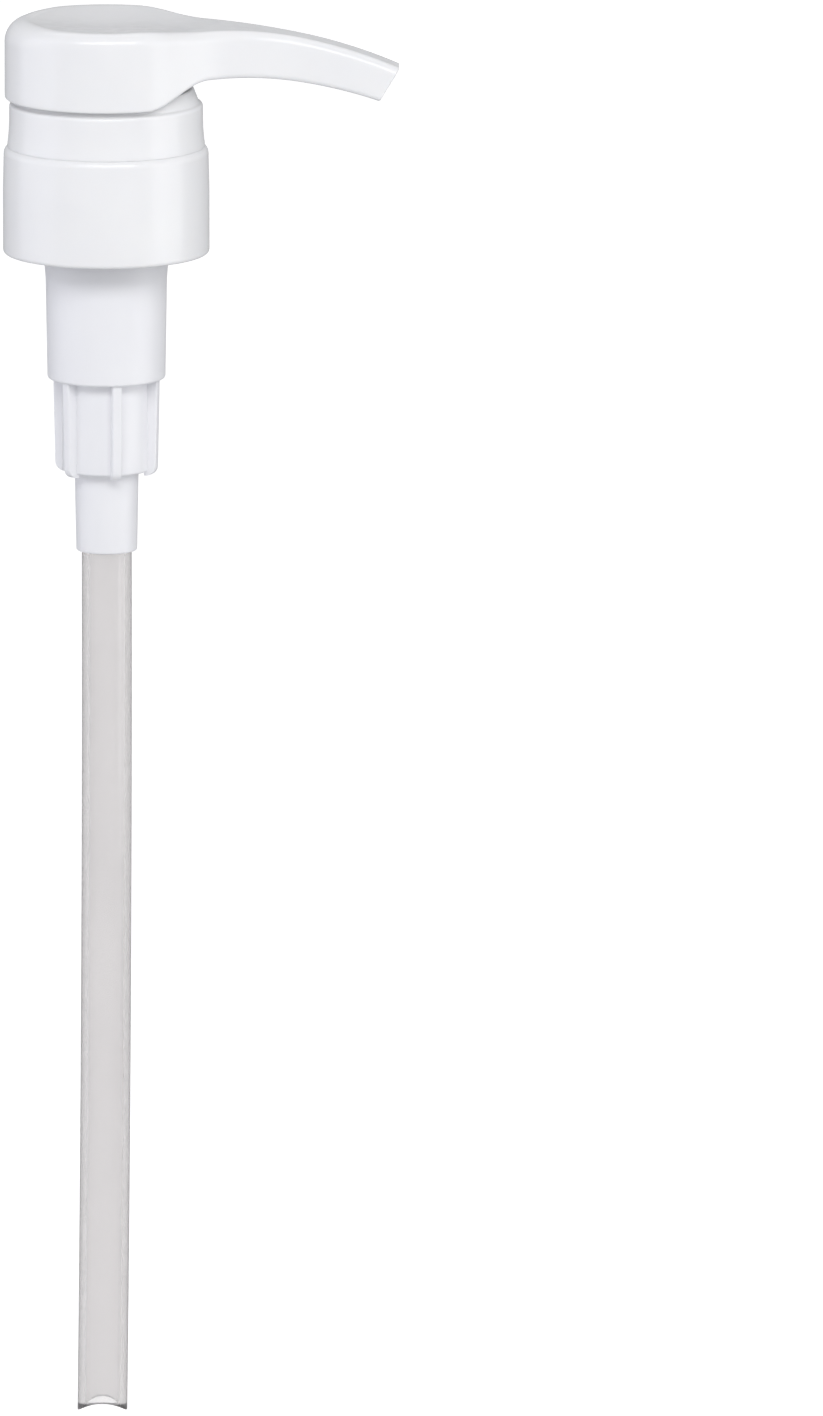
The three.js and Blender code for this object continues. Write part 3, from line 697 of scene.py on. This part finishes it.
def lock_collar():
    """Flared ring over the closure, with a threaded sleeve that takes the head's boss and the seal."""
    grip = NECK_RADIUS + 0.9
    shoulder_start = CAP_TOP_RADIUS - CAP_SHOULDER
    hug = []
    for radius in np.linspace(shoulder_start, COLLAR_RADIUS, 5):
        fall = CAP_SHOULDER - math.sqrt(CAP_SHOULDER**2 - (radius - shoulder_start) ** 2)
        hug.append((radius, COLLAR_SEAM - fall))
    flare = []
    for height in np.linspace(COLLAR_SEAM + 0.25, COLLAR_WAIST, 9):
        rise = (COLLAR_WAIST - height) / (COLLAR_WAIST - COLLAR_SEAM)
        flare.append((COLLAR_RADIUS - COLLAR_FLARE * (1 - rise**2), height))
    collar = turned("lock_collar_piece", [
        (18.2, COLLAR_SEAM, 0.2),
        *hug,
        *flare,
        (19.7, 15.3, 1.1),
        (18.9, 15.75, 0.5),
        (17.75, COLLAR_TOP, 0.5),
        (SLEEVE_BORE, COLLAR_TOP, 0.4),
        (SLEEVE_BORE, SEAL_SEAT_TOP),
        (SEAL_SEAT_BORE, SEAL_SEAT_TOP, 0.3),
        (SEAL_SEAT_BORE, SEAL_SEAT_BOTTOM, 0.2),
        (SEAL_POCKET_RADIUS, SEAL_SEAT_BOTTOM),
        (SEAL_POCKET_RADIUS, SEAL_POCKET_BOTTOM),
        (8.5, SLEEVE_BOTTOM, 0.2),
        (SLEEVE_RADIUS, SLEEVE_BOTTOM, 0.3),
        (SLEEVE_RADIUS, COLLAR_CEILING, 0.2),
        (grip, COLLAR_CEILING, 0.3),
        (grip, NECK_TOP - 2.8, 0.2),
        (NECK_RADIUS + 0.3, NECK_TOP - 3.2, 0.2),
        (NECK_RADIUS + 0.3, COLLAR_BOTTOM + 1, 0.3),
        (NECK_RADIUS + 0.8, COLLAR_BOTTOM, 0.2),
        (GRIP_WALL_RADIUS, COLLAR_BOTTOM, 0.2),
        (GRIP_WALL_RADIUS, COLLAR_CEILING, 0.3),
        (OUTER_WALL_BORE, COLLAR_CEILING, 0.3),
    ])
    ridge = helix_ridge("ridge", SLEEVE_BORE + 0.1, THREAD_START, LOCK_TURNS, LOCK_PITCH,
                        [(0.4, 0.8), (0, 0.8), (-0.75, 0.25), (-0.75, -0.25), (0, -0.8), (0.4, -0.8)])
    return combine(collar, "UNION", ridge)


fit(lock_collar(), "lock_collar", "housing", GLOSS_WHITE)

# Pump housing

FLANGE_RADIUS = 17.3
FLANGE_TOP = 3.3
FLANGE_BOTTOM = 1.5
SHOULDER_RADIUS = 12.6               # of the barrel, down to its step
SHOULDER_BOTTOM = -17.6
BARREL_TOP = -20.5
BARREL_TOP_RADIUS = 12.35
BARREL_LOW_RADIUS = 12.0
BARREL_BORE = 10.5
BARREL_BOTTOM = -41.2
CORE_RADIUS = 9.1
CORE_BOTTOM = -60.0
BORE_TAPER = (-40.6, -38.4)          # where the barrel's bore narrows to the valve's
VALVE_BORE = 7.0
VALVE_BOTTOM = -50.5
BALL_BORE = 5.4
BALL_SEAT = (-60.2, -57.7)           # lower and upper edge of the conical seat
INLET_BORE = 2.9
TUBE_STOP = -62.5
VENT_HEIGHT = -4.0
VENT_RADIUS = 0.6
SOCKET_RADIUS = 6.5
SOCKET_BORE = 5.4
SOCKET_BOTTOM = housing_low.z
FIN_COUNT = 6
FIN_HALF = 0.975
FIN_TOP_RADIUS = 11.2
FIN_LOW_RADIUS = 10.8
FIN_BOTTOM = -60.9
FIN_CORNER = 2.0
FIN_EDGE = 0.3
FIN_PHASE = math.radians(-90 + 12)   # heading of the first fin: 12 degrees round from -Y


def fin(index):
    """One upright fin with rounded outer edges and a round lower corner."""
    top = BARREL_BOTTOM + 0.3
    corner_start = FIN_BOTTOM + FIN_CORNER
    stations = []
    for share in np.linspace(0, 1, 6):
        radius = FIN_TOP_RADIUS + (FIN_LOW_RADIUS - FIN_TOP_RADIUS) * share
        stations.append((radius, top + (corner_start - top) * share))
    for angle in np.radians(np.linspace(10, 90, 9)):
        stations.append((FIN_LOW_RADIUS - FIN_CORNER * (1 - math.cos(angle)),
                         corner_start - FIN_CORNER * math.sin(angle)))
    heading = FIN_PHASE + TURN * index / FIN_COUNT
    c, s = math.cos(heading), math.sin(heading)
    rings = []
    for tip, height in stations:
        half = [(CORE_RADIUS - 0.8, FIN_HALF), (CORE_RADIUS - 0.4, FIN_HALF)]
        for angle in np.radians(np.linspace(90, 0, 6)):
            across = FIN_HALF - FIN_EDGE * (1 - math.sin(angle))
            half.append((tip - FIN_EDGE * (1 - math.cos(angle)), across))
        section = half + [(u, -v) for u, v in half[::-1]]
        rings.append([(c * u - s * v, s * u + c * v, height) for u, v in section])
    return skin_rings("fin", rings, caps=True)


def pump_housing():
    """Neck, flange, barrel, fins, valve chamber and tube socket in one moulding."""
    taper_bottom, taper_top = BORE_TAPER
    seat_bottom, seat_top = BALL_SEAT
    housing = turned("pump_housing_piece", [
        (BARREL_BORE, NECK_TOP, 0.3),
        (NECK_RADIUS - 0.2, NECK_TOP, 0.3),
        (NECK_RADIUS + 0.6, NECK_TOP - 0.8, 0.2),
        (NECK_RADIUS + 0.6, NECK_TOP - 1.8, 0.2),
        (NECK_RADIUS, NECK_TOP - 2.4, 0.3),
        (NECK_RADIUS, FLANGE_TOP, 0.4),
        (FLANGE_RADIUS, FLANGE_TOP, 0.3),
        (FLANGE_RADIUS, FLANGE_BOTTOM, 0.3),
        (SHOULDER_RADIUS, FLANGE_BOTTOM, 0.4),
        (SHOULDER_RADIUS, SHOULDER_BOTTOM, 2.0),
        (BARREL_TOP_RADIUS, BARREL_TOP, 4.0),
        (BARREL_LOW_RADIUS, BARREL_BOTTOM, 0.55),
        (CORE_RADIUS, BARREL_BOTTOM + 0.2, 0.3),
        (CORE_RADIUS, CORE_BOTTOM, 0.5),
        (SOCKET_RADIUS, CORE_BOTTOM - 0.9, 0.7),
        (SOCKET_RADIUS - 0.3, SOCKET_BOTTOM, 0.5),
        (SOCKET_BORE, SOCKET_BOTTOM, 0.3),
        (SOCKET_BORE, TUBE_STOP, 0.2),
        (INLET_BORE, TUBE_STOP, 0.3),
        (INLET_BORE, seat_bottom, 0.3),
        (BALL_BORE, seat_top, 0.3),
        (BALL_BORE, VALVE_BOTTOM, 0.3),
        (VALVE_BORE, VALVE_BOTTOM, 0.2),
        (VALVE_BORE, taper_bottom, 0.4),
        (BARREL_BORE, taper_top, 0.6),
    ])
    vent_route = [(0, BARREL_BORE + out, VENT_HEIGHT) for out in (-2, 1, 4)]
    vent = swept("vent", vent_route, VENT_RADIUS, 20)
    combine(housing, "UNION", *[fin(index) for index in range(FIN_COUNT)])
    return combine(housing, "DIFFERENCE", vent)


fit(pump_housing(), "pump_housing", "housing", SATIN_WHITE)

# Dip tube

tube_low, tube_high = box_mm("dip_tube")
TUBE_RADIUS = tube_high.y
TUBE_BORE = TUBE_RADIUS - 1.5
TUBE_TOP = tube_high.z
TUBE_END = tube_low.z
TUBE_BOW = -tube_low.x - TUBE_RADIUS
NOTCH_DEPTH = 2.2
TUBE_EDGE = 0.12
END_RINGS = (1.2, 0.45, 0.25)        # heights above the end of the rings that keep its shading even


def dip_tube():
    """Tube with a slight set towards -X and an arched cut across its end."""
    angles = TURN * np.arange(ROUND) / ROUND
    notch_radius = (TUBE_RADIUS**2 + NOTCH_DEPTH**2) / (2 * NOTCH_DEPTH)

    def ring(radius, height, at_end=0.0):
        along = max(0.0, (SOCKET_BOTTOM - height) / (SOCKET_BOTTOM - TUBE_END))
        x, y = radius * np.cos(angles), radius * np.sin(angles)
        arch = NOTCH_DEPTH - notch_radius + np.sqrt(notch_radius**2 - x**2)
        return np.column_stack([x - TUBE_BOW * along**2, y, height + at_end * arch])

    heights = list(np.linspace(TUBE_TOP - 0.3, TUBE_END + 4, 40))
    rings = [
        ring(TUBE_BORE + 0.2, TUBE_TOP),
        ring(TUBE_RADIUS - 0.2, TUBE_TOP),
        ring(TUBE_RADIUS, TUBE_TOP - 0.2),
    ]
    rings += [ring(TUBE_RADIUS, height) for height in heights]
    for height in END_RINGS:
        rings.append(ring(TUBE_RADIUS, TUBE_END + height, 1))
    rings += [ring(TUBE_RADIUS - TUBE_EDGE, TUBE_END, 1), ring(TUBE_BORE + TUBE_EDGE, TUBE_END, 1)]
    for height in END_RINGS[::-1]:
        rings.append(ring(TUBE_BORE, TUBE_END + height, 1))
    rings += [ring(TUBE_BORE, height) for height in heights[::-1]]
    return skin_rings("dip_tube_piece", rings, loop=True)


fit(dip_tube(), "dip_tube", "housing", TUBE)

# Inner pieces

stem_low, stem_high = box_mm("stem")
piston_low, piston_high = box_mm("piston")
rod_low, rod_high = box_mm("valve_rod")
seal_low, seal_high = box_mm("stem_seal")
gasket_low, gasket_high = box_mm("jar_gasket")
retainer_low, retainer_high = box_mm("ball_retainer")
spring_low, spring_high = box_mm("return_spring")
ball_low, ball_high = box_mm("inlet_ball")
STEM_RADIUS = 5.5
STEM_BORE = 3.6
STOP_RING = (-19.0, -17.9)           # bottom and top of the ring that stops the piston on the stem
PISTON_BORE = 5.8
PISTON_WALL = 9.5                    # outside, between the lips
PISTON_CUP = -24.0                   # floor of the cup in the piston's top
ROD_RADIUS = 4.5
ROD_NECK = 2.4
ROD_SHOULDER = (-32.8, -31.4)
CONE_TOP = -27.4
RIB_SPAN = (-23.2, -13.5)
SPRING_WIRE = 0.6
SPRING_TURNS = 8.5
CLOSED_LEAD = 0.09                   # share of the height taken by each closed end turn


def stem():
    """Hollow rod from the head down to the piston."""
    ring_bottom, ring_top = STOP_RING
    return turned("stem_piece", [
        (STEM_BORE, stem_low.z, 0.2),
        (STEM_RADIUS, stem_low.z, 0.5),
        (STEM_RADIUS, ring_bottom, 0.15),
        (stem_high.x, ring_bottom, 0.2),
        (stem_high.x, ring_top, 0.2),
        (STEM_RADIUS, ring_top, 0.2),
        (STEM_RADIUS, stem_high.z, 0.4),
        (STEM_BORE, stem_high.z, 0.2),
    ], SMALL_ROUND)


def piston():
    """Piston with a wiping lip at each end."""
    top, bottom, lip = piston_high.z, piston_low.z, piston_high.x
    return turned("piston_piece", [
        (PISTON_BORE, top, 0.2),
        (PISTON_BORE, -27.2, 0.3),
        (6.4, bottom + 1.0, 0.2),
        (7.4, bottom + 0.6, 0.2),
        (8.9, bottom, 0.2),
        (lip, bottom, 0.1),
        (lip, bottom + 1.2, 0.2),
        (PISTON_WALL, bottom + 2.0, 0.3),
        (PISTON_WALL, top - 2.0, 0.3),
        (lip, top - 1.2, 0.2),
        (lip, top, 0.1),
        (9.3, top, 0.2),
        (8.6, PISTON_CUP, 0.3),
        (7.1, PISTON_CUP, 0.3),
        (7.1, top, 0.2),
    ])


def valve_rod():
    """Rod with the cone that closes the piston's mouth, and crossed ribs that stand in the stem's bore."""
    bottom, shoulder = rod_low.z, rod_high.x
    shoulder_bottom, shoulder_top = ROD_SHOULDER
    rib_bottom, rib_top = RIB_SPAN
    rod = turned("valve_rod_piece", [
        (0, bottom),
        (ROD_RADIUS, bottom, 0.8),
        (ROD_RADIUS, shoulder_bottom, 0.3),
        (shoulder, shoulder_bottom, 0.3),
        (shoulder, shoulder_top, 0.3),
        (ROD_NECK, CONE_TOP, 0.8),
        (ROD_NECK, -20),
        (2.0, rod_high.z, 0.4),
        (0, rod_high.z),
    ], SMALL_ROUND)
    reach, half = STEM_BORE - 0.35, 0.6
    rib = block("rib", (-reach, -half, rib_bottom), (reach, half, rib_top))
    cross_rib = block("cross_rib", (-half, -reach, rib_bottom), (half, reach, rib_top))
    return combine(rod, "UNION", rib, cross_rib)


def return_spring():
    """Wire coil with a closed turn at each end."""
    along = np.linspace(0, 1, int(SPRING_TURNS * 48) + 1)
    closed = 1.0 / SPRING_TURNS
    rise = np.interp(along, [0, closed, 1 - closed, 1], [0, CLOSED_LEAD, 1 - CLOSED_LEAD, 1])
    low, high = spring_low.z + SPRING_WIRE, spring_high.z - SPRING_WIRE
    radius = spring_high.x - SPRING_WIRE
    angle = TURN * SPRING_TURNS * along
    route = np.column_stack([radius * np.cos(angle), radius * np.sin(angle), low + (high - low) * rise])
    return swept("return_spring_piece", route, SPRING_WIRE, 16)


def stem_seal():
    """Wiper ring between the collar's sleeve and the stem."""
    bottom, top = seal_low.z, seal_high.z
    return turned("stem_seal_piece", [
        (5.8, bottom, 0.1), (7.2, bottom, 0.2), (7.4, bottom + 0.4, 0.2), (8.6, bottom + 0.4, 0.2),
        (8.6, top, 0.2), (6.6, top, 0.2), (5.8, top - 0.6, 0.1),
    ])


def jar_gasket():
    """Flat ring between the flange and the jar's rim."""
    bottom, top = gasket_low.z, gasket_high.z
    return turned("jar_gasket_piece", [
        (12.9, bottom, 0.12), (gasket_high.x, bottom, 0.12), (gasket_high.x, top, 0.12), (12.9, top, 0.12),
    ])


def ball_retainer():
    """Disc with three holes: the spring's seat and the ball's upper stop."""
    bottom, top = retainer_low.z, retainer_high.z
    disc = turned("ball_retainer_piece", [
        (0, bottom), (retainer_high.x, bottom, 0.3), (retainer_high.x, top, 0.3), (0, top),
    ], SMALL_ROUND)
    holes = []
    for index in range(3):
        angle = TURN * index / 3
        x, y = 3.0 * math.cos(angle), 3.0 * math.sin(angle)
        route = [(x, y, bottom - 1), (x, y, (bottom + top) / 2), (x, y, top + 1)]
        holes.append(swept("hole", route, 1.35, 32))
    return combine(disc, "DIFFERENCE", *holes)


def inlet_ball():
    """Check valve ball."""
    radius = ball_high.x
    centre = (ball_low.z + ball_high.z) / 2
    arc = [(radius * math.sin(a), centre - radius * math.cos(a)) for a in np.linspace(0, math.pi, 49)]
    return turned("inlet_ball_piece", arc, SMALL_ROUND)


fit(stem(), "stem", "head", SATIN_WHITE)
fit(piston(), "piston", "piston", NATURAL)
fit(valve_rod(), "valve_rod", "plunger", NATURAL)
fit(stem_seal(), "stem_seal", "housing", NATURAL)
fit(jar_gasket(), "jar_gasket", "housing", FOAM)
fit(ball_retainer(), "ball_retainer", "housing", NATURAL)
fit(inlet_ball(), "inlet_ball", "inlet_ball", BALL)

# The spring's coil is built from its seat up to the valve rod.
spring = return_spring()
spring.data.materials.append(WIRE)
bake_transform(spring)
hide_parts("return_spring")

# Stage

FLOOR_GAP = 0.001
FLOOR_REACH = 8.0
FLOOR_GLOW = 0.86
WORLD_GREY = 0.42    # studio walls and ceiling
FILL_GREY = 0.74     # pale table and white card, which light the pump from below and in front
FILL_DIRECTION = (0, -0.6, -0.8)
FILL_BEGINS = -0.1   # cosine to the fill direction where the studio starts to brighten
FILL_FULL = 0.7      # and where it is at its brightest
STUDIO_CENTRE = Vector((0, 0, -0.05))


def floor():
    """Plain floor, white mostly by its own glow and clear from below.

    The pump neither reflects it nor is lit by it. It shows through the cloudy tube.
    """
    low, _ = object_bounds()
    height = low.z - FLOOR_GAP
    corners = [(x * FLOOR_REACH, y * FLOOR_REACH, height) for x, y in ((-1, -1), (1, -1), (1, 1), (-1, 1))]
    mesh = bpy.data.meshes.new("floor")
    mesh.from_pydata(corners, [], [(0, 1, 2, 3)])
    material, tree, shader = new_material("floor")
    grain = noise(tree, object_position(tree), 30)
    colour = blend_colours(tree, grain, (0.42, 0.42, 0.42), (0.40, 0.40, 0.40))
    tree.links.new(colour, shader.inputs["Base Color"])
    shader.inputs["Roughness"].default_value = 0.9
    shader.inputs["Emission Color"].default_value = (1, 1, 1, 1)
    shader.inputs["Emission Strength"].default_value = FLOOR_GLOW
    geometry = tree.nodes.new("ShaderNodeNewGeometry")
    clear = tree.nodes.new("ShaderNodeBsdfTransparent")
    pick = tree.nodes.new("ShaderNodeMixShader")
    tree.links.new(geometry.outputs["Backfacing"], pick.inputs["Fac"])
    tree.links.new(shader.outputs["BSDF"], pick.inputs[1])
    tree.links.new(clear.outputs["BSDF"], pick.inputs[2])
    tree.links.new(pick.outputs["Shader"], tree.nodes["Material Output"].inputs["Surface"])
    mesh.materials.append(material)
    piece = bpy.data.objects.new("floor", mesh)
    bpy.context.scene.collection.objects.link(piece)
    piece.visible_diffuse = False
    piece.visible_glossy = False
    piece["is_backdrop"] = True


def soft_light(name, azimuth, elevation, distance, size, radiance, colour=(1, 1, 1)):
    """A softbox at an azimuth and elevation in degrees, 0 in front of the pump, facing its middle."""
    turn, lift = math.radians(azimuth), math.radians(elevation)
    away = Vector((math.sin(turn) * math.cos(lift), -math.cos(turn) * math.cos(lift), math.sin(lift)))
    data = bpy.data.lights.new(name, "AREA")
    data.shape = "RECTANGLE"
    data.size, data.size_y = size
    data.energy = radiance * math.pi * size[0] * size[1]
    data.color = colour
    light = bpy.data.objects.new(name, data)
    bpy.context.scene.collection.objects.link(light)
    light.location = STUDIO_CENTRE + away * distance
    light.rotation_mode = "QUATERNION"
    light.rotation_quaternion = (-away).to_track_quat("-Z", "Y")
    light.visible_camera = False


def lights():
    """Four soft lights, the studio round the pump and a white background for the camera."""
    soft_light("key_light", 2, 37, 1.2, (1.35, 0.34), 5.2)
    soft_light("left_light", -85, 12, 1.2, (1.3, 1.0), 1.05, (0.89, 0.9, 1.0))
    soft_light("right_light", 74, 8, 1.2, (0.9, 1.0), 1.4)
    soft_light("back_light", 180, 62, 1.3, (1.2, 0.6), 0.9)
    world = bpy.data.worlds.new("studio")
    world.use_nodes = True
    tree = world.node_tree
    surround = tree.nodes["Background"]
    direction = tree.nodes.new("ShaderNodeTexCoord")
    towards = tree.nodes.new("ShaderNodeVectorMath")
    towards.operation = "DOT_PRODUCT"
    towards.inputs[1].default_value = FILL_DIRECTION
    level = tree.nodes.new("ShaderNodeMapRange")
    level.inputs["From Min"].default_value = FILL_BEGINS
    level.inputs["From Max"].default_value = FILL_FULL
    level.inputs["To Min"].default_value = WORLD_GREY
    level.inputs["To Max"].default_value = FILL_GREY
    tree.links.new(direction.outputs["Generated"], towards.inputs[0])
    tree.links.new(towards.outputs["Value"], level.inputs["Value"])
    tree.links.new(level.outputs["Result"], surround.inputs["Strength"])
    surround.inputs["Color"].default_value = (0.97, 0.98, 1.0, 1)
    backdrop = tree.nodes.new("ShaderNodeBackground")
    backdrop.inputs["Color"].default_value = (1, 1, 1, 1)
    rays = tree.nodes.new("ShaderNodeLightPath")
    pick = tree.nodes.new("ShaderNodeMixShader")
    tree.links.new(rays.outputs["Is Camera Ray"], pick.inputs["Fac"])
    tree.links.new(surround.outputs["Background"], pick.inputs[1])
    tree.links.new(backdrop.outputs["Background"], pick.inputs[2])
    tree.links.new(pick.outputs["Shader"], tree.nodes["World Output"].inputs["Surface"])
    bpy.context.scene.world = world


# Camera: long lens, a little above level, with the pump left of the middle of the picture. Metres.

CAMERA_DISTANCE = 6.8
CAMERA_ELEVATION = math.radians(10.66)
VIEW_HEIGHT = 0.2887         # height seen at the pump, which sets the lens
AXIS_OFFSET = 0.06207        # from the pump's axis, on its right, to the point looked at
LOOK_HEIGHT = -0.10968
SENSOR = 36.0
VIEW_LIMIT = 40.0


def camera():
    """The camera, turned to its point on the pump's middle plane."""
    data = bpy.data.cameras.new("camera")
    data.sensor_width = SENSOR
    data.lens = SENSOR * CAMERA_DISTANCE / VIEW_HEIGHT
    data.clip_end = VIEW_LIMIT
    piece = bpy.data.objects.new("camera", data)
    bpy.context.scene.collection.objects.link(piece)
    middle = Vector((AXIS_OFFSET, 0, LOOK_HEIGHT))
    away = Vector((0, -math.cos(CAMERA_ELEVATION), math.sin(CAMERA_ELEVATION)))
    piece.location = middle + away * CAMERA_DISTANCE
    piece.rotation_mode = "QUATERNION"
    piece.rotation_quaternion = (-away).to_track_quat("-Z", "Y")
    bpy.context.scene.camera = piece


floor()
lights()
camera()
bpy.context.scene.view_settings.view_transform = "Standard"
